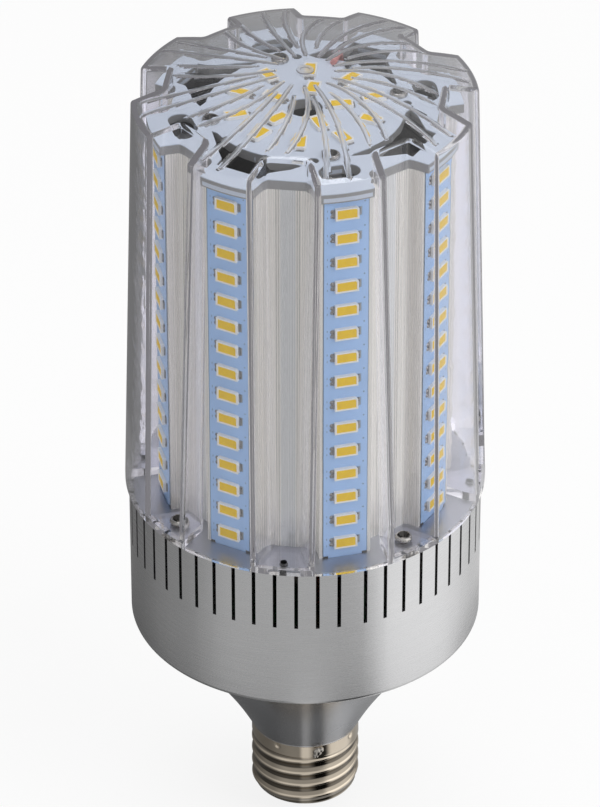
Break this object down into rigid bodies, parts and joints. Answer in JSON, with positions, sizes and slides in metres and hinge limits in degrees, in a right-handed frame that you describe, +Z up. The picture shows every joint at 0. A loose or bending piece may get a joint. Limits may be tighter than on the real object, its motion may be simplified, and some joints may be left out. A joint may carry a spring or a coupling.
{
  "type": "led retrofit bulb",
  "caption": "Screw-base LED retrofit lamp: flared neck, slotted metal driver cup, grooved heat sink with LED strips and a clear lobed cover with a swirl-ribbed dome",
  "frame": {"origin": "on the lamp's axis, in the plane of the screw shell's rim where the neck begins", "axes": "+Z runs up the lamp's axis from the screw cap to the dome; one cover lobe faces -Y"},
  "size_m": [0.0854, 0.0854, 0.2073],
  "materials": {
    "nickel": "bright nickel plate",
    "black_insulator": "gloss",
    "tin": "tinned",
    "grey_paint": "satin",
    "brushed_aluminium": "fine brushed",
    "bright_aluminium": "polished",
    "extruded_aluminium": "drawn lengthwise",
    "white_board": "satin",
    "blue_board": "satin",
    "green_board": "satin",
    "led_package": "yellow phosphor in a white body",
    "clear_plastic": "clear, glossy",
    "steel": "zinc plated",
    "ferrite": "matte",
    "yellow_tape": "satin",
    "copper": "enamelled",
    "red_insulation": "satin",
    "black_insulation": "satin",
    "white_insulation": "satin"
  },
  "bodies": {
    "root": {"base_insulator": "black_insulator", "base_lead_line": "black_insulation", "base_lead_neutral": "white_insulation", "board_screws": "steel", "bulk_capacitors": "black_insulator", "center_contact": "tin", "cover": "clear_plastic", "cover_screws": "steel", "deck_plate": "bright_aluminium", "deck_posts": "steel", "deck_screws": "steel", "driver_board": "green_board", "end_plate": "extruded_aluminium", "film_capacitor": "yellow_tape", "fuse": "grey_paint", "heat_sink": "extruded_aluminium", "housing_cup": "brushed_aluminium", "led_lead_black": "black_insulation", "led_lead_red": "red_insulation", "line_choke": "copper", "lower_posts": "steel", "neck": "grey_paint", "power_transistor": "black_insulator", "rectifier": "black_insulator", "screw_shell": "nickel", "sink_screws": "steel", "strip_board_1": "blue_board", "strip_board_2": "blue_board", "strip_board_3": "blue_board", "strip_board_4": "blue_board", "strip_board_5": "blue_board", "strip_board_6": "blue_board", "strip_board_7": "blue_board", "strip_board_8": "blue_board", "strip_feed_minus": "copper", "strip_feed_plus": "copper", "strip_leds_1": "led_package", "strip_leds_2": "led_package", "strip_leds_3": "led_package", "strip_leds_4": "led_package", "strip_leds_5": "led_package", "strip_leds_6": "led_package", "strip_leds_7": "led_package", "strip_leds_8": "led_package", "top_board": "white_board", "top_leds": "led_package", "transformer_core": "ferrite", "transformer_winding": "yellow_tape"}
  },
  "joints": []
}
